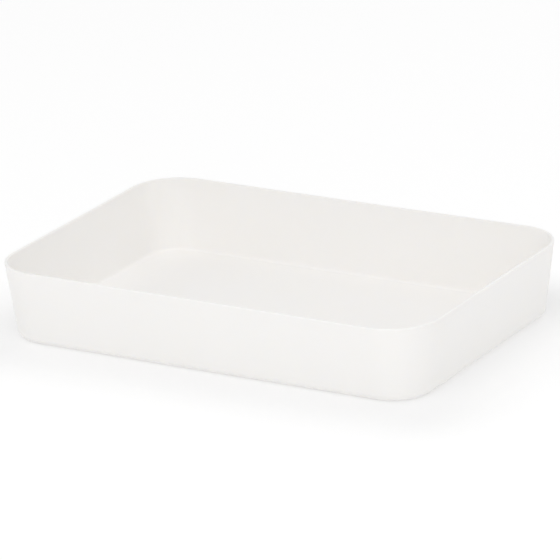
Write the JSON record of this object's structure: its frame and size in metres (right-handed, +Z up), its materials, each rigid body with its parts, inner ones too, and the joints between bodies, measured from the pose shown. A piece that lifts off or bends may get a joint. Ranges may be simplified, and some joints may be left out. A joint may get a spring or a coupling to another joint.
{
  "type": "open storage tray",
  "caption": "Shallow open rectangular tray with large rounded corners, outward-leaning plain walls, a thin plain rim and a flat floor, for holding loose things.",
  "frame": {"origin": "middle of the underside, on the plane that the tray stands on", "axes": "+X along the length, +Y along the width, +Z up out of the open top"},
  "size_m": [0.37, 0.25, 0.06],
  "materials": {
    "tray_plastic": "satin white polypropylene, lightly textured by the mould"
  },
  "bodies": {
    "root": {"tray": "tray_plastic"}
  },
  "joints": []
}
